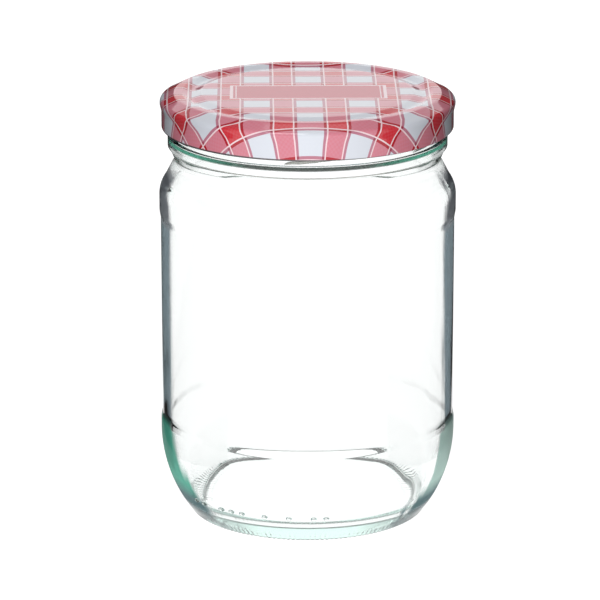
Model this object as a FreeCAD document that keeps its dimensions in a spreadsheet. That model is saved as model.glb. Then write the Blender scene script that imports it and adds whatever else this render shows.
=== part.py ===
import FreeCAD, Part
import math
import os

import Sketcher

# A twist-off preserving jar: one blown and pressed glass jar, and one tinplate lid that screws
# down on its rim.  Millimetres, +Z up, origin at the middle of the standing ring, on the ground.

SIZES = [
    # glass
    ("glass_height", 124.8, "ground to rim"),
    ("body_diameter", 86.0, "over the shoulder and the heel"),
    ("finish_diameter", 77.8, "root of the threads"),
    ("finish_wall", 2.5, "glass between the bore and the root of the threads"),
    ("neck_groove", 0.8, "groove under the bead, in from the root of the threads"),
    ("wall", 2.2, "glass of the body, inside the label panel"),
    ("floor_thickness", 3.6, "glass of the base"),
    ("push_up", 1.0, "rise of the underside above the ground"),
    ("bearing_diameter", 68.4, "outer edge of the standing ring"),
    ("bearing_width", 1.6, "flat of the standing ring"),
    ("bearing_slope", 1.2, "run from the standing ring up to the underside"),
    ("heel_height", 25.0, "top of the curved heel"),
    ("heel_band", 2.6, "straight band between heel and label panel"),
    ("panel_recess", 0.35, "label panel, below the heel band"),
    ("panel_step", 2.2, "height of the step at each end of the panel"),
    ("shoulder_drop", 29.8, "rim down to the start of the shoulder"),
    ("shoulder_band", 4.6, "straight band between panel and shoulder"),
    ("shoulder_bend", 4.9, "height of the round part of the shoulder"),
    ("shoulder_pull", 1.7, "how far the round part pulls in"),
    ("bead_gap", 0.3, "lowest end of a thread down to the top of the bead"),
    ("bead_face", 1.9, "upright face of the bead"),
    ("bead_rise", 1.55, "bead, out from the root of the threads"),
    ("bead_height", 6.2, "top of the bead down to the groove under it"),
    ("rim_round", 0.9, "rounding of the rim"),
    ("floor_round", 4.5, "rounding between wall and floor inside"),
    ("thread_rise", 1.4, "thread, out from its root"),
    ("thread_round", 1.35, "half the height of a thread"),
    ("thread_drop", 8.5, "rim down to the middle of a thread"),
    ("thread_sweep", 56.0, "degrees that one thread runs"),
    ("thread_pitch", 5.8, "degrees that a thread leans"),
    ("dot_size", 1.0, "radius of the ball that makes a mould dot"),
    ("dot_proud", 0.28, "mould dot, proud of the heel"),
    ("dot_level", 8.3, "height of the row of mould dots"),
    # lid
    ("sheet", 0.22, "tinplate with its lacquer"),
    ("skirt_clearance", 1.68, "threads to the inside of the skirt"),
    ("panel_sink", 0.2, "centre of the lid, below its ring"),
    ("panel_slope", 2.6, "run from the centre down to its groove"),
    ("groove_sink", 0.9, "groove round the centre, below the ring"),
    ("groove_width", 1.0, "flat of that groove"),
    ("groove_inset", 2.2, "that groove, in from the bore of the glass"),
    ("ring_inset", 0.2, "inner edge of the ring, in from the bore of the glass"),
    ("ring_outset", 0.4, "outer edge of the ring, in from the root of the threads"),
    ("swell", 0.45, "shoulder of the lid, out from its skirt"),
    ("corner_drop", 1.6, "ring down to the rounded corner"),
    ("corner_height", 1.2, "height of the rounded corner"),
    ("corner_pull", 0.85, "rounded corner, in from the shoulder"),
    ("swell_band", 0.4, "upright part of the shoulder"),
    ("swell_taper", 1.9, "height in which the shoulder draws in to the skirt"),
    ("curl", 0.55, "radius of the rolled lower edge"),
    ("lug_reach", 2.4, "lug, in from the skirt"),
    ("lug_height", 0.95, "height of a lug"),
    ("lug_clearance", 0.1, "lug below its thread"),
    ("lug_sweep", 13.0, "degrees that one lug runs"),
    ("lug_turn", 20.0, "degrees from the middle of a thread up to the middle of its lug"),
]

H_AXIS, V_AXIS = -1, -2   # a sketch's own axes, as its constraints number them
START, FINISH, CENTRE = 1, 2, 3   # the points of an edge, numbered likewise
STARTS = 6                # threads on the glass, and lugs on the lid
THREAD_TURN = -14.0       # degrees from +X to the middle of a thread
DOT_STEP = 5.22           # degrees between neighbouring mould dots
DOT_FIRST = -82.2         # degrees from +X to the first mould dot
DOT_PLACES = (0, 1, 3, 5, 7, 8, 9, 11, 12)

# Shorthands for the places that several outlines share.
BODY_R = "Sizes.body_diameter / 2"
PANEL_R = f"({BODY_R} - Sizes.panel_recess)"
INSIDE_R = f"({PANEL_R} - Sizes.wall)"
FINISH_R = "Sizes.finish_diameter / 2"
MOUTH_R = f"({FINISH_R} - Sizes.finish_wall)"
NECK_R = f"({FINISH_R} - Sizes.neck_groove)"
BEAD_R = f"({FINISH_R} + Sizes.bead_rise)"
BEARING_R = "Sizes.bearing_diameter / 2"
RIM_Z = "Sizes.glass_height"
HEEL_TOP = "Sizes.heel_height"
PANEL_LOW = f"({HEEL_TOP} + Sizes.heel_band + Sizes.panel_step)"
SHOULDER_Z = f"({RIM_Z} - Sizes.shoulder_drop)"
PANEL_HIGH = f"({SHOULDER_Z} - Sizes.shoulder_band - Sizes.panel_step)"
THREAD_R = f"({FINISH_R} + Sizes.thread_rise - Sizes.thread_round)"
THREAD_Z = f"({RIM_Z} - Sizes.thread_drop)"
THREAD_FALL = f"{THREAD_R} * sin(Sizes.thread_pitch) * sin(Sizes.thread_sweep / 2)"
BEAD_TOP = f"({THREAD_Z} - {THREAD_FALL} - Sizes.thread_round - Sizes.bead_gap)"
GROOVE_Z = f"({BEAD_TOP} - Sizes.bead_height)"
FLOOR_Z = "(Sizes.push_up + Sizes.floor_thickness)"
HEEL_PULL = f"({BODY_R} - {BEARING_R})"
HEEL_R = f"(({HEEL_PULL}^2 + {HEEL_TOP}^2) / (2 * {HEEL_PULL}))"
LID_TOP = f"({RIM_Z} + Sizes.sheet)"
SKIRT_R = f"({FINISH_R} + Sizes.thread_rise + Sizes.skirt_clearance + Sizes.sheet)"
LUG_CLIMB = f"{THREAD_R} * sin(Sizes.thread_pitch) * sin(Sizes.lug_turn - Sizes.lug_sweep / 2)"
LUG_TOP = f"({THREAD_Z} + {LUG_CLIMB} - Sizes.thread_round - Sizes.lug_clearance)"
LID_EDGE = f"({LUG_TOP} - Sizes.lug_height)"


def make_sheet(doc):
    """Put the driving dimensions into the spreadsheet, one alias to a row."""
    sheet = doc.addObject("Spreadsheet::Sheet", "Sizes")
    for row, (alias, value, note) in enumerate(SIZES, start=1):
        sheet.set(f"A{row}", alias)
        sheet.set(f"B{row}", str(value))
        sheet.set(f"C{row}", note)
        sheet.setAlias(f"B{row}", alias)
    doc.recompute()
    return sheet


def value_of(owner, expression):
    """Work out an expression on the sheet as a plain number."""
    result = owner.evalExpression(expression)
    return float(getattr(result, "Value", result))


def origin_feature(body, role):
    """Find one of the body's own origin planes or axes."""
    return next(feature for feature in body.Origin.OriginFeatures if feature.Role == role)


def upright_sketch(body, name):
    """Start a sketch on the body's XZ plane: across is the radius, up is the height."""
    sketch = body.newObject("Sketcher::SketchObject", name)
    sketch.AttachmentSupport = [(origin_feature(body, "XZ_Plane"), "")]
    sketch.MapMode = "FlatFace"
    return sketch


def pin_point(sketch, geometry, end, across, up):
    """Tie one end of an edge to the place that two expressions give."""
    for kind, axis, expression in (("DistanceX", V_AXIS, across), ("DistanceY", H_AXIS, up)):
        if expression == "0":
            sketch.addConstraint(Sketcher.Constraint("PointOnObject", geometry, end, axis))
            continue
        amount = value_of(sketch, expression)
        index = sketch.addConstraint(Sketcher.Constraint(kind, -1, 1, geometry, end, amount))
        sketch.setExpression(f"Constraints[{index}]", expression)


def upright_arc(start, finish, upright_end):
    """Arc between two points that stands upright at the named end."""
    fixed, free = (start, finish) if upright_end == "start" else (finish, start)
    across = fixed.x - free.x
    radius = (across ** 2 + (fixed.y - free.y) ** 2) / (2 * abs(across))
    centre = FreeCAD.Vector(fixed.x - math.copysign(radius, across), fixed.y, 0)
    turns = [math.atan2(point.y - centre.y, point.x - centre.x) for point in (start, finish)]
    left_turn = math.sin(turns[1] - turns[0]) > 0
    circle = Part.Circle(centre, FreeCAD.Vector(0, 0, 1), radius)
    if left_turn:
        return Part.ArcOfCircle(circle, turns[0], turns[1]), START, FINISH
    return Part.ArcOfCircle(circle, turns[1], turns[0]), FINISH, START


def draw_outline(sketch, corners):
    """Draw a closed outline through the corners.

    Each corner is (radius, height, edge to the next corner), and an edge is "line", or "start"
    or "finish" for an arc that stands upright at that end.
    """
    points = [FreeCAD.Vector(value_of(sketch, across), value_of(sketch, up), 0)
              for across, up, _ in corners]
    ends = []
    for index, (_, _, edge) in enumerate(corners):
        start, finish = points[index], points[(index + 1) % len(points)]
        if edge == "line":
            geometry = sketch.addGeometry(Part.LineSegment(start, finish))
            ends.append((geometry, START, FINISH))
            continue
        arc, first, last = upright_arc(start, finish, edge)
        geometry = sketch.addGeometry(arc)
        upright = first if edge == "start" else last
        sketch.addConstraint(
            Sketcher.Constraint("Horizontal", geometry, CENTRE, geometry, upright))
        ends.append((geometry, first, last))
    for index, (geometry, first, last) in enumerate(ends):
        following, next_first, _ = ends[(index + 1) % len(ends)]
        sketch.addConstraint(
            Sketcher.Constraint("Coincident", geometry, last, following, next_first))
        pin_point(sketch, geometry, first, corners[index][0], corners[index][1])


def turn_outline(body, kind, name, corners):
    """Add a Revolution or a Groove of an outline about the upright axis."""
    sketch = upright_sketch(body, name + "_outline")
    draw_outline(sketch, corners)
    feature = body.newObject("PartDesign::" + kind, name)
    feature.Profile = sketch
    feature.ReferenceAxis = (sketch, ["V_Axis"])
    feature.Angle = 360.0
    return feature


def draw_circle(sketch, across, up, rounding):
    """Draw a circle about a place on the sketch, its radius given by an expression."""
    centre = FreeCAD.Vector(value_of(sketch, across), value_of(sketch, up), 0)
    radius = value_of(sketch, rounding)
    geometry = sketch.addGeometry(Part.Circle(centre, FreeCAD.Vector(0, 0, 1), radius))
    pin_point(sketch, geometry, CENTRE, across, up)
    size = sketch.addConstraint(Sketcher.Constraint("Radius", geometry, radius))
    sketch.setExpression(f"Constraints[{size}]", rounding)


def turn_part_way(body, sketch, name, sweep):
    """Turn a sketch about its own upright axis, half of the sweep to each side of it."""
    feature = body.newObject("PartDesign::Revolution", name)
    feature.Profile = sketch
    feature.ReferenceAxis = (sketch, ["V_Axis"])
    feature.Midplane = True
    feature.setExpression("Angle", sweep)
    body.Document.recompute()
    return feature


def round_rings(body, base, name, rings):
    """Round circular edges, each given by its radius, its height and the rounding."""
    document = body.Document
    document.recompute()
    for index, (across, up, rounding) in enumerate(rings):
        radius, height = value_of(base, across), value_of(base, up)
        chosen = [f"Edge{number}" for number, edge in enumerate(base.Shape.Edges, start=1)
                  if isinstance(edge.Curve, Part.Circle)
                  and abs(edge.Curve.Radius - radius) < 0.02
                  and abs(edge.Curve.Center.z - height) < 0.02]
        if not chosen:
            raise RuntimeError(f"{name}: no edge of radius {radius} at height {height}")
        fillet = body.newObject("PartDesign::Fillet", f"{name}_{index + 1}")
        fillet.Base = (base, chosen)
        fillet.setExpression("Radius", rounding)
        document.recompute()
        base = fillet
    return base


def patterned(body, feature, name):
    """Repeat a feature once for each thread start, about the upright axis."""
    pattern = body.newObject("PartDesign::PolarPattern", name)
    pattern.Originals = [feature]
    pattern.Axis = (origin_feature(body, "Z_Axis"), [""])
    pattern.Angle = 360.0
    pattern.Occurrences = STARTS
    body.Tip = pattern
    return pattern


def make_glass(doc):
    """The glass: outside, inside, rounded corners and the six threads."""
    body = doc.addObject("PartDesign::Body", "glass")
    inner_floor = f"({FLOOR_Z} - 0.2)"
    underside_edge = f"({BEARING_R} - Sizes.bearing_width - Sizes.bearing_slope)"
    shoulder_end_r = f"({BODY_R} - Sizes.shoulder_pull)"
    shoulder_end_z = f"({SHOULDER_Z} + Sizes.shoulder_bend)"
    turn_outline(body, "Revolution", "outside", [
        ("0", "Sizes.push_up", "line"),
        (underside_edge, "Sizes.push_up * 0.8", "line"),
        (f"{BEARING_R} - Sizes.bearing_width", "0", "line"),
        (BEARING_R, "0", "finish"),
        (BODY_R, HEEL_TOP, "line"),
        (BODY_R, f"{HEEL_TOP} + Sizes.heel_band", "line"),
        (PANEL_R, PANEL_LOW, "line"),
        (PANEL_R, PANEL_HIGH, "line"),
        (BODY_R, f"{PANEL_HIGH} + Sizes.panel_step", "line"),
        (BODY_R, SHOULDER_Z, "start"),
        (shoulder_end_r, shoulder_end_z, "line"),
        (NECK_R, GROOVE_Z, "finish"),
        (BEAD_R, f"{BEAD_TOP} - Sizes.bead_face", "line"),
        (BEAD_R, BEAD_TOP, "line"),
        (FINISH_R, BEAD_TOP, "line"),
        (FINISH_R, RIM_Z, "line"),
        ("0", RIM_Z, "line"),
    ])
    half_way_r = f"(({INSIDE_R} + {MOUTH_R}) / 2)"
    half_way_z = f"(({SHOULDER_Z} + {GROOVE_Z}) / 2)"
    inside = turn_outline(body, "Groove", "inside", [
        ("0", FLOOR_Z, "line"),
        (f"{BEARING_R} - Sizes.floor_round / 2", inner_floor, "finish"),
        (INSIDE_R, f"{HEEL_TOP} + Sizes.heel_band", "line"),
        (INSIDE_R, SHOULDER_Z, "start"),
        (half_way_r, half_way_z, "finish"),
        (MOUTH_R, GROOVE_Z, "line"),
        (MOUTH_R, RIM_Z, "line"),
        ("0", RIM_Z, "line"),
    ])
    round_rings(body, inside, "rounding", [
        (f"{BEARING_R} - Sizes.floor_round / 2", inner_floor, "Sizes.floor_round"),
        (BEARING_R, "0", "Sizes.rim_round"),
        (NECK_R, GROOVE_Z, "Sizes.rim_round"),
        (BEAD_R, BEAD_TOP, "Sizes.rim_round / 2"),
        (FINISH_R, RIM_Z, "Sizes.rim_round"),
        (MOUTH_R, RIM_Z, "Sizes.rim_round"),
        (PANEL_R, PANEL_LOW, "Sizes.panel_step * 2"),
        (PANEL_R, PANEL_HIGH, "Sizes.panel_step * 2"),
    ])
    add_thread(body)
    return body


def add_thread(body):
    """One thread as a short leaning ring of round section, repeated for each start."""
    sketch = upright_sketch(body, "thread_section")
    lean = FreeCAD.Rotation(FreeCAD.Vector(1, 0, 0), value_of(body, "Sizes.thread_pitch"))
    turn = FreeCAD.Rotation(FreeCAD.Vector(0, 1, 0), THREAD_TURN)
    sketch.AttachmentOffset = FreeCAD.Placement(FreeCAD.Vector(0, 0, 0), turn * lean)
    sketch.setExpression("AttachmentOffset.Base.y", THREAD_Z)
    draw_circle(sketch, THREAD_R, "0", "Sizes.thread_round")
    patterned(body, turn_part_way(body, sketch, "thread", "Sizes.thread_sweep"), "threads")


def make_dots(doc):
    """The row of raised mould dots round the heel, one ball for each, poles out of the glass."""
    lean = f"asin(({HEEL_TOP} - Sizes.dot_level) / {HEEL_R})"
    depth = f"({HEEL_R} - Sizes.dot_size + Sizes.dot_proud)"
    reach = f"({BODY_R} - {HEEL_R} + {depth} * cos({lean}))"
    dots = []
    for number, place in enumerate(DOT_PLACES, start=1):
        turn = DOT_FIRST - DOT_STEP * place
        dot = doc.addObject("Part::Sphere", f"mould_dot_{number}")
        dot.setExpression("Radius", "Sizes.dot_size")
        dot.setExpression("Placement.Base.x", f"{reach} * cos({turn})")
        dot.setExpression("Placement.Base.y", f"{reach} * sin({turn})")
        dot.setExpression("Placement.Base.z", f"{HEEL_TOP} - {depth} * sin({lean})")
        dot.Placement.Rotation = FreeCAD.Rotation(turn, 90 + value_of(dot, lean), 0)
        dots.append(dot)
    return dots


def make_jar(doc):
    """The jar is the glass and its mould dots in one solid."""
    jar = doc.addObject("Part::MultiFuse", "jar")
    jar.Shapes = [make_glass(doc)] + make_dots(doc)
    jar.Label = "jar"
    return jar


def lid_outline():
    """The lid's section: its outer face from the centre down, then its inner face back up."""
    swell_r = f"({SKIRT_R} + Sizes.swell)"
    corner_r = f"({swell_r} - Sizes.corner_pull)"
    groove_outer = f"({MOUTH_R} - Sizes.groove_inset)"
    groove_inner = f"({groove_outer} - Sizes.groove_width)"
    panel_r = f"({groove_inner} - Sizes.panel_slope)"
    panel_z = f"({LID_TOP} - Sizes.panel_sink)"
    groove_z = f"({LID_TOP} - Sizes.groove_sink)"
    corner_z = f"({LID_TOP} - Sizes.corner_drop)"
    swell_z = f"({corner_z} - Sizes.corner_height)"
    band_z = f"({swell_z} - Sizes.swell_band)"
    skirt_z = f"({band_z} - Sizes.swell_taper)"
    curl_z = f"({LID_EDGE} + Sizes.curl)"
    top = [("0", panel_z), (panel_r, panel_z), (groove_inner, groove_z), (groove_outer, groove_z),
           (f"{MOUTH_R} - Sizes.ring_inset", LID_TOP),
           (f"{FINISH_R} - Sizes.ring_outset", LID_TOP)]
    side = [(swell_r, swell_z), (swell_r, band_z), (SKIRT_R, skirt_z), (SKIRT_R, curl_z)]
    outer = [(across, up, "line") for across, up in top]
    outer += [(corner_r, corner_z, "finish")]
    outer += [(across, up, "line") for across, up in side]
    inner = [(f"{across} - Sizes.sheet", up, "line") for across, up in reversed(side[1:])]
    inner += [(f"{swell_r} - Sizes.sheet", swell_z, "start")]
    inner += [(f"{corner_r} - Sizes.sheet / 2", f"{corner_z} - Sizes.sheet", "line")]
    inner += [(across, f"{up} - Sizes.sheet", "line") for across, up in reversed(top)]
    return outer + inner


def make_lid(doc):
    """The lid: pressed sheet with a raised ring over the rim, a rolled edge and six lugs."""
    body = doc.addObject("PartDesign::Body", "lid")
    body.Label = "lid"
    turn_outline(body, "Revolution", "pressing", lid_outline())
    add_curl(body)
    add_lug(body)
    return body


def add_curl(body):
    """The lower edge, rolled inwards into a round bead."""
    sketch = upright_sketch(body, "curl_section")
    draw_circle(sketch, f"{SKIRT_R} - Sizes.curl", f"{LID_EDGE} + Sizes.curl", "Sizes.curl")
    curl = body.newObject("PartDesign::Revolution", "curl")
    curl.Profile = sketch
    curl.ReferenceAxis = (sketch, ["V_Axis"])
    curl.Angle = 360.0


def add_lug(body):
    """One lug pressed inwards from the curl, under its thread, repeated for each start."""
    sketch = upright_sketch(body, "lug_section")
    turn = THREAD_TURN + value_of(body, "Sizes.lug_turn")
    sketch.AttachmentOffset = FreeCAD.Placement(
        FreeCAD.Vector(0, 0, 0), FreeCAD.Rotation(FreeCAD.Vector(0, 1, 0), turn))
    outer_r = f"{SKIRT_R} - Sizes.curl"
    inner_r = f"{SKIRT_R} - Sizes.sheet - Sizes.lug_reach"
    draw_outline(sketch, [
        (inner_r, LID_EDGE, "line"),
        (outer_r, LID_EDGE, "line"),
        (outer_r, LUG_TOP, "line"),
        (inner_r, LUG_TOP, "line"),
    ])
    patterned(body, turn_part_way(body, sketch, "lug", "Sizes.lug_sweep"), "lugs")


def check_document(doc, sub_parts):
    """Stop if any object failed, or if a sub-part isn't one valid solid."""
    for item in doc.Objects:
        if "Invalid" in item.State or "Error" in item.State:
            raise RuntimeError(f"{item.Name} failed: {item.State}")
    for part in sub_parts:
        shape = part.Shape
        if shape.isNull() or not shape.isValid() or len(shape.Solids) != 1:
            raise RuntimeError(f"{part.Label} isn't one valid solid")


def main():
    """Build the document, check it and write each sub-part to its own file."""
    doc = FreeCAD.newDocument("PreservingJar")
    make_sheet(doc)
    sub_parts = [make_jar(doc), make_lid(doc)]
    doc.recompute()
    check_document(doc, sub_parts)
    os.makedirs("parts", exist_ok=True)
    for part in sub_parts:
        shape = part.Shape
        shape.exportStep(f"parts/{part.Label}.step")
        box = shape.optimalBoundingBox()
        print(f"{part.Label}: {shape.Volume / 1000:.2f} cm3, radius {box.XMax:.2f} mm, "
              f"height {box.ZMin:.2f} to {box.ZMax:.2f} mm")


main()
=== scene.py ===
"""A half-litre preserving jar: a pressed clear glass with a printed twist-off lid seated on its rim."""

import logging
import math
from dataclasses import dataclass, field
from enum import Enum
from typing import Any, Callable, Sequence

import bpy
import numpy as np
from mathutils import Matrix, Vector, noise


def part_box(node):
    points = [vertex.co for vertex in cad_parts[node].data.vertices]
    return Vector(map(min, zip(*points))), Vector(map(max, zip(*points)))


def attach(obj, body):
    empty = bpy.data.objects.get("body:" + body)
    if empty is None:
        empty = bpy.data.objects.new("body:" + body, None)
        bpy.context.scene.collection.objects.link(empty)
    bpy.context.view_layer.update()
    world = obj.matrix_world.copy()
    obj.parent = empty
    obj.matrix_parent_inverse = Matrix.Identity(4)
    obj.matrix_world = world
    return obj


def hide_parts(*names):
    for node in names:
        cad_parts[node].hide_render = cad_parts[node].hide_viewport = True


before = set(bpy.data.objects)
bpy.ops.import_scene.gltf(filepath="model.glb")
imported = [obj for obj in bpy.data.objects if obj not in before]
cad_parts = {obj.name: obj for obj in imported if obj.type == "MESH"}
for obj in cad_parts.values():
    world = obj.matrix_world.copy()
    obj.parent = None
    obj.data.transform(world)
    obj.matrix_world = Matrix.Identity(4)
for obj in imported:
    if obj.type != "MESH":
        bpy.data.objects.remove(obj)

Socket = bpy.types.NodeSocket
Tree = bpy.types.NodeTree
Array = np.ndarray
Span = tuple[float, float]
MM = 0.001
TINY = 1e-6  # what counts as nothing
NEAR = 0.1  # millimetres within which a ring counts as on an edge
RUN_TRIES = 500  # places tried along one run of an outline
ROUNDING_STEP = 0.2  # radians that each step of a rounding turns
ROUNDING_ROOM = 1.2  # share of a rounding's room that other points stay out of
INSIDE_CAD = 0.01  # millimetres that the glass keeps within the solid's box
LOG = logging.getLogger("preserving_jar")
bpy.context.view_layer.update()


class Bend(Enum):
    """How an outline runs on from one of its corners."""

    STRAIGHT = "a straight line"
    LEAVES_UPRIGHT = "an arc that starts upright"
    ARRIVES_UPRIGHT = "an arc that ends upright"


class Face(Enum):
    """Which face of a wall a stretch of outline belongs to."""

    OUTSIDE = 1.0
    INSIDE = 0.0


@dataclass(frozen=True)
class Zone:
    """A band of heights, in millimetres, that fades in over its foot and out over its top."""

    foot: Span
    top: Span

    def share(self, up: float) -> float:
        """Say how far a height lies in the band, from 0 to 1."""
        return ramp(up, *self.foot) * (1 - ramp(up, *self.top))

    def shaded(self, tree: Tree, up: Socket) -> Socket:
        """Say the same in a material, where the height is in metres and the fades are straight."""
        fades = [add_node(tree, "MapRange", {"Value": up, "From Min": start * MM, "From Max": end * MM})
                 for start, end in (self.foot, self.top[::-1])]
        return add_node(tree, "Math", {0: fades[0], 1: fades[1]}, operation="MULTIPLY")


@dataclass(frozen=True)
class Corner:
    """A corner of an outline, in millimetres.

    Args:
        out: distance from the axis.
        up: height above the ground.
        rounding: radius that the corner is rounded to.
        bend: how the outline runs on to the next corner.
        step: longest step between points on that run.
        close: a band of heights, from and to, and the shorter step used within it.
    """

    out: float
    up: float
    rounding: float = 0.0
    bend: Bend = Bend.STRAIGHT
    step: float = 3.0
    close: tuple[float, float, float] = (0.0, 0.0, 1.0)

    def shares(self, length: float, height_at: Callable[[Array], Array]) -> Array:
        """Spread points along the run that starts here.

        Args:
            length: how long the run is.
            height_at: gives the height at each share of the run.

        Returns:
            The points as shares of the run, from 0 to 1.
        """
        tries = np.linspace(0, 1, RUN_TRIES)
        heights = height_at(tries)
        low, high, fine = self.close
        steps = np.where((heights > low) & (heights < high), fine, self.step)
        needed = np.concatenate(([0.0], np.cumsum(length / (RUN_TRIES - 1) / steps[1:])))
        count = max(1, math.ceil(needed[-1] - TINY))
        return np.interp(np.linspace(0, needed[-1], count + 1), needed, tries)


@dataclass(frozen=True)
class Ring:
    """One ring of a turned mesh.

    Args:
        out: distance from the axis, in millimetres.
        up: height, in millimetres.
        normal: the outline's outward normal there.
        face: the face of the wall that the ring lies on.
        travel: length of outline up to this ring.
    """

    out: float
    up: float
    normal: Array
    face: Face
    travel: float


def linear(colour: str) -> tuple[float, float, float, float]:
    """Turn an sRGB hex colour into linear values.

    Args:
        colour: the colour as "#rrggbb".

    Returns:
        Red, green, blue and alpha, linear.
    """
    parts = [int(colour[start:start + 2], 16) / 255 for start in (1, 3, 5)]
    red, green, blue = (part / 12.92 if part <= 0.04045 else ((part + 0.055) / 1.055) ** 2.4
                        for part in parts)
    return red, green, blue, 1.0


def ramp(value: Any, low: float, high: float) -> Any:
    """Rise smoothly from 0 at low to 1 at high.

    Args:
        value: a number or an array of them.
        low: where the rise starts.
        high: where it ends.

    Returns:
        The height of the rise at each value.
    """
    share = np.clip((value - low) / (high - low), 0.0, 1.0)
    return share * share * (3 - 2 * share)


def apart(turns: Array, middle: float) -> Array:
    """Give the signed angle from a middle to each turn, the short way round, in radians."""
    return (turns - middle + math.pi) % (2 * math.pi) - math.pi


def add_node(tree: Tree, kind: str, inputs: dict[int | str, Any] | None = None,
             out: int | str = 0, **settings: Any) -> Socket | None:
    """Add a node with its settings and links.

    Args:
        tree: the node tree.
        kind: the node's type, without the part that all shader nodes share.
        inputs: what each input holds: a value, a colour as "#rrggbb", or the output it is linked from.
        out: which output to return.
        settings: the node's own properties.

    Returns:
        The chosen output, or None for a node that has no output.
    """
    node = tree.nodes.new(f"ShaderNode{kind}")
    for name, value in settings.items():
        setattr(node, name, value)
    for name, value in (inputs or {}).items():
        if isinstance(value, Socket):
            tree.links.new(value, node.inputs[name])
        else:
            node.inputs[name].default_value = linear(value) if isinstance(value, str) else value
    return node.outputs[out] if node.outputs else None


def new_material(name: str) -> tuple[bpy.types.Material, Tree]:
    """Make a material with an empty node tree.

    Args:
        name: the material's name.

    Returns:
        The material and its node tree.
    """
    material = bpy.data.materials.new(name)
    material.use_nodes = True
    material.node_tree.nodes.clear()
    return material, material.node_tree


def add_object(name: str, data: bpy.types.ID) -> bpy.types.Object:
    """Put an object with its data into the scene.

    Args:
        name: the object's name.
        data: its mesh, lamp or camera.

    Returns:
        The object.
    """
    item = bpy.data.objects.new(name, data)
    bpy.context.scene.collection.objects.link(item)
    return item


# ---- turning


def run_between(start: Corner, end: Corner) -> list[Array]:
    """Give points along one run of an outline.

    Args:
        start: the corner it leaves, which says how it bends.
        end: the corner it reaches.

    Returns:
        The points, both ends included.
    """
    first, last = np.array((start.out, start.up)), np.array((end.out, end.up))
    across, rise = last - first
    if start.bend is Bend.STRAIGHT or across == 0:
        shares = start.shares(math.hypot(across, rise), lambda share: start.up + rise * share)
        return [first + (last - first) * share for share in shares]
    radius = (across ** 2 + rise ** 2) / (2 * abs(across))
    toward = np.array((math.copysign(radius, across), 0.0))
    centre = first + toward if start.bend is Bend.LEAVES_UPRIGHT else last - toward
    begin = math.atan2(*(first - centre)[::-1])
    finish = math.atan2(*(last - centre)[::-1])
    sweep = (finish - begin + math.pi) % (2 * math.pi) - math.pi
    shares = start.shares(abs(sweep) * radius,
                          lambda share: centre[1] + radius * np.sin(begin + sweep * share))
    return [centre + radius * np.array((math.cos(turn), math.sin(turn))) for turn in begin + sweep * shares]


def rounded(before: list[Array], after: list[Array], rounding: float) -> list[Array]:
    """Round the corner between two runs, which are cut back to make room.

    Args:
        before: the run that ends at the corner.
        after: the run that starts there.
        rounding: the radius.

    Returns:
        The points of the rounding, without its ends.
    """
    corner = before[-1]
    coming = (corner - before[-2]) / np.linalg.norm(corner - before[-2])
    going = (after[1] - corner) / np.linalg.norm(after[1] - corner)
    turn = math.acos(float(np.clip(coming @ going, -1, 1)))
    room = rounding * math.tan(turn / 2)
    while len(before) > 2 and np.linalg.norm(before[-2] - corner) < room * ROUNDING_ROOM:
        before.pop(-2)
    while len(after) > 2 and np.linalg.norm(after[1] - corner) < room * ROUNDING_ROOM:
        after.pop(1)
    before[-1], after[0] = corner - coming * room, corner + going * room
    shares = np.linspace(0, 1, max(3, math.ceil(turn / ROUNDING_STEP) + 1))[1:-1]
    return [(1 - share) ** 2 * before[-1] + 2 * share * (1 - share) * corner + share ** 2 * after[0]
            for share in shares]


def turned_outline(corners: Sequence[tuple[Corner, Face]]) -> list[Ring]:
    """Work out the rings of a turned shape from its corners.

    Args:
        corners: the corners in order, from the axis back to the axis, each with its face.

    Returns:
        The rings in the same order.
    """
    runs = [run_between(start, end) for (start, _), (end, _) in zip(corners, corners[1:])]
    fillets = {index: rounded(runs[index - 1], runs[index], corners[index][0].rounding)
               for index in range(1, len(runs)) if corners[index][0].rounding}
    spots: list[Array] = []
    faces: list[Face] = []
    for index, run in enumerate(runs):
        stretch = fillets.get(index, []) + (run if index in fillets or index == 0 else run[1:])
        spots += stretch
        faces += [corners[index][1]] * len(stretch)
    places = np.array(spots)
    along = np.vstack((places[1:], places[-1:])) - np.vstack((places[:1], places[:-1]))
    along /= np.linalg.norm(along, axis=1)[:, None]
    travel = np.concatenate(([0.0], np.cumsum(np.linalg.norm(np.diff(places, axis=0), axis=1))))
    return [Ring(float(place[0]), float(place[1]), np.array((way[1], -way[0])), face, float(length))
            for place, way, face, length in zip(places, along, faces, travel)]


def strip(low: int, high: int, low_count: int, high_count: int) -> list[tuple[int, ...]]:
    """Join two neighbouring rings of vertices by faces.

    Args:
        low: the first vertex of the ring that comes first.
        high: the first vertex of the next ring.
        low_count: how many vertices the first ring has.
        high_count: how many the next one has: as many, half, twice, or a single one.

    Returns:
        The faces, each as vertex numbers.
    """
    fewer = min(low_count, high_count)
    count = fewer if fewer > 1 else max(low_count, high_count)
    faces: list[tuple[int, ...]] = []
    for column in range(count):
        beside = (column + 1) % count
        if low_count == high_count:
            faces.append((low + column, low + beside, high + beside, high + column))
        elif low_count == 1:
            faces.append((low, high + beside, high + column))
        elif high_count == 1:
            faces.append((low + column, low + beside, high))
        else:
            fine, coarse = (low, high) if low_count > high_count else (high, low)
            start, middle, stop = fine + 2 * column, fine + 2 * column + 1, fine + 2 * beside
            three = [(start, middle, coarse + column), (middle, coarse + beside, coarse + column),
                     (middle, stop, coarse + beside)]
            faces += three if fine == low else [face[::-1] for face in three]
    return faces


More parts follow.
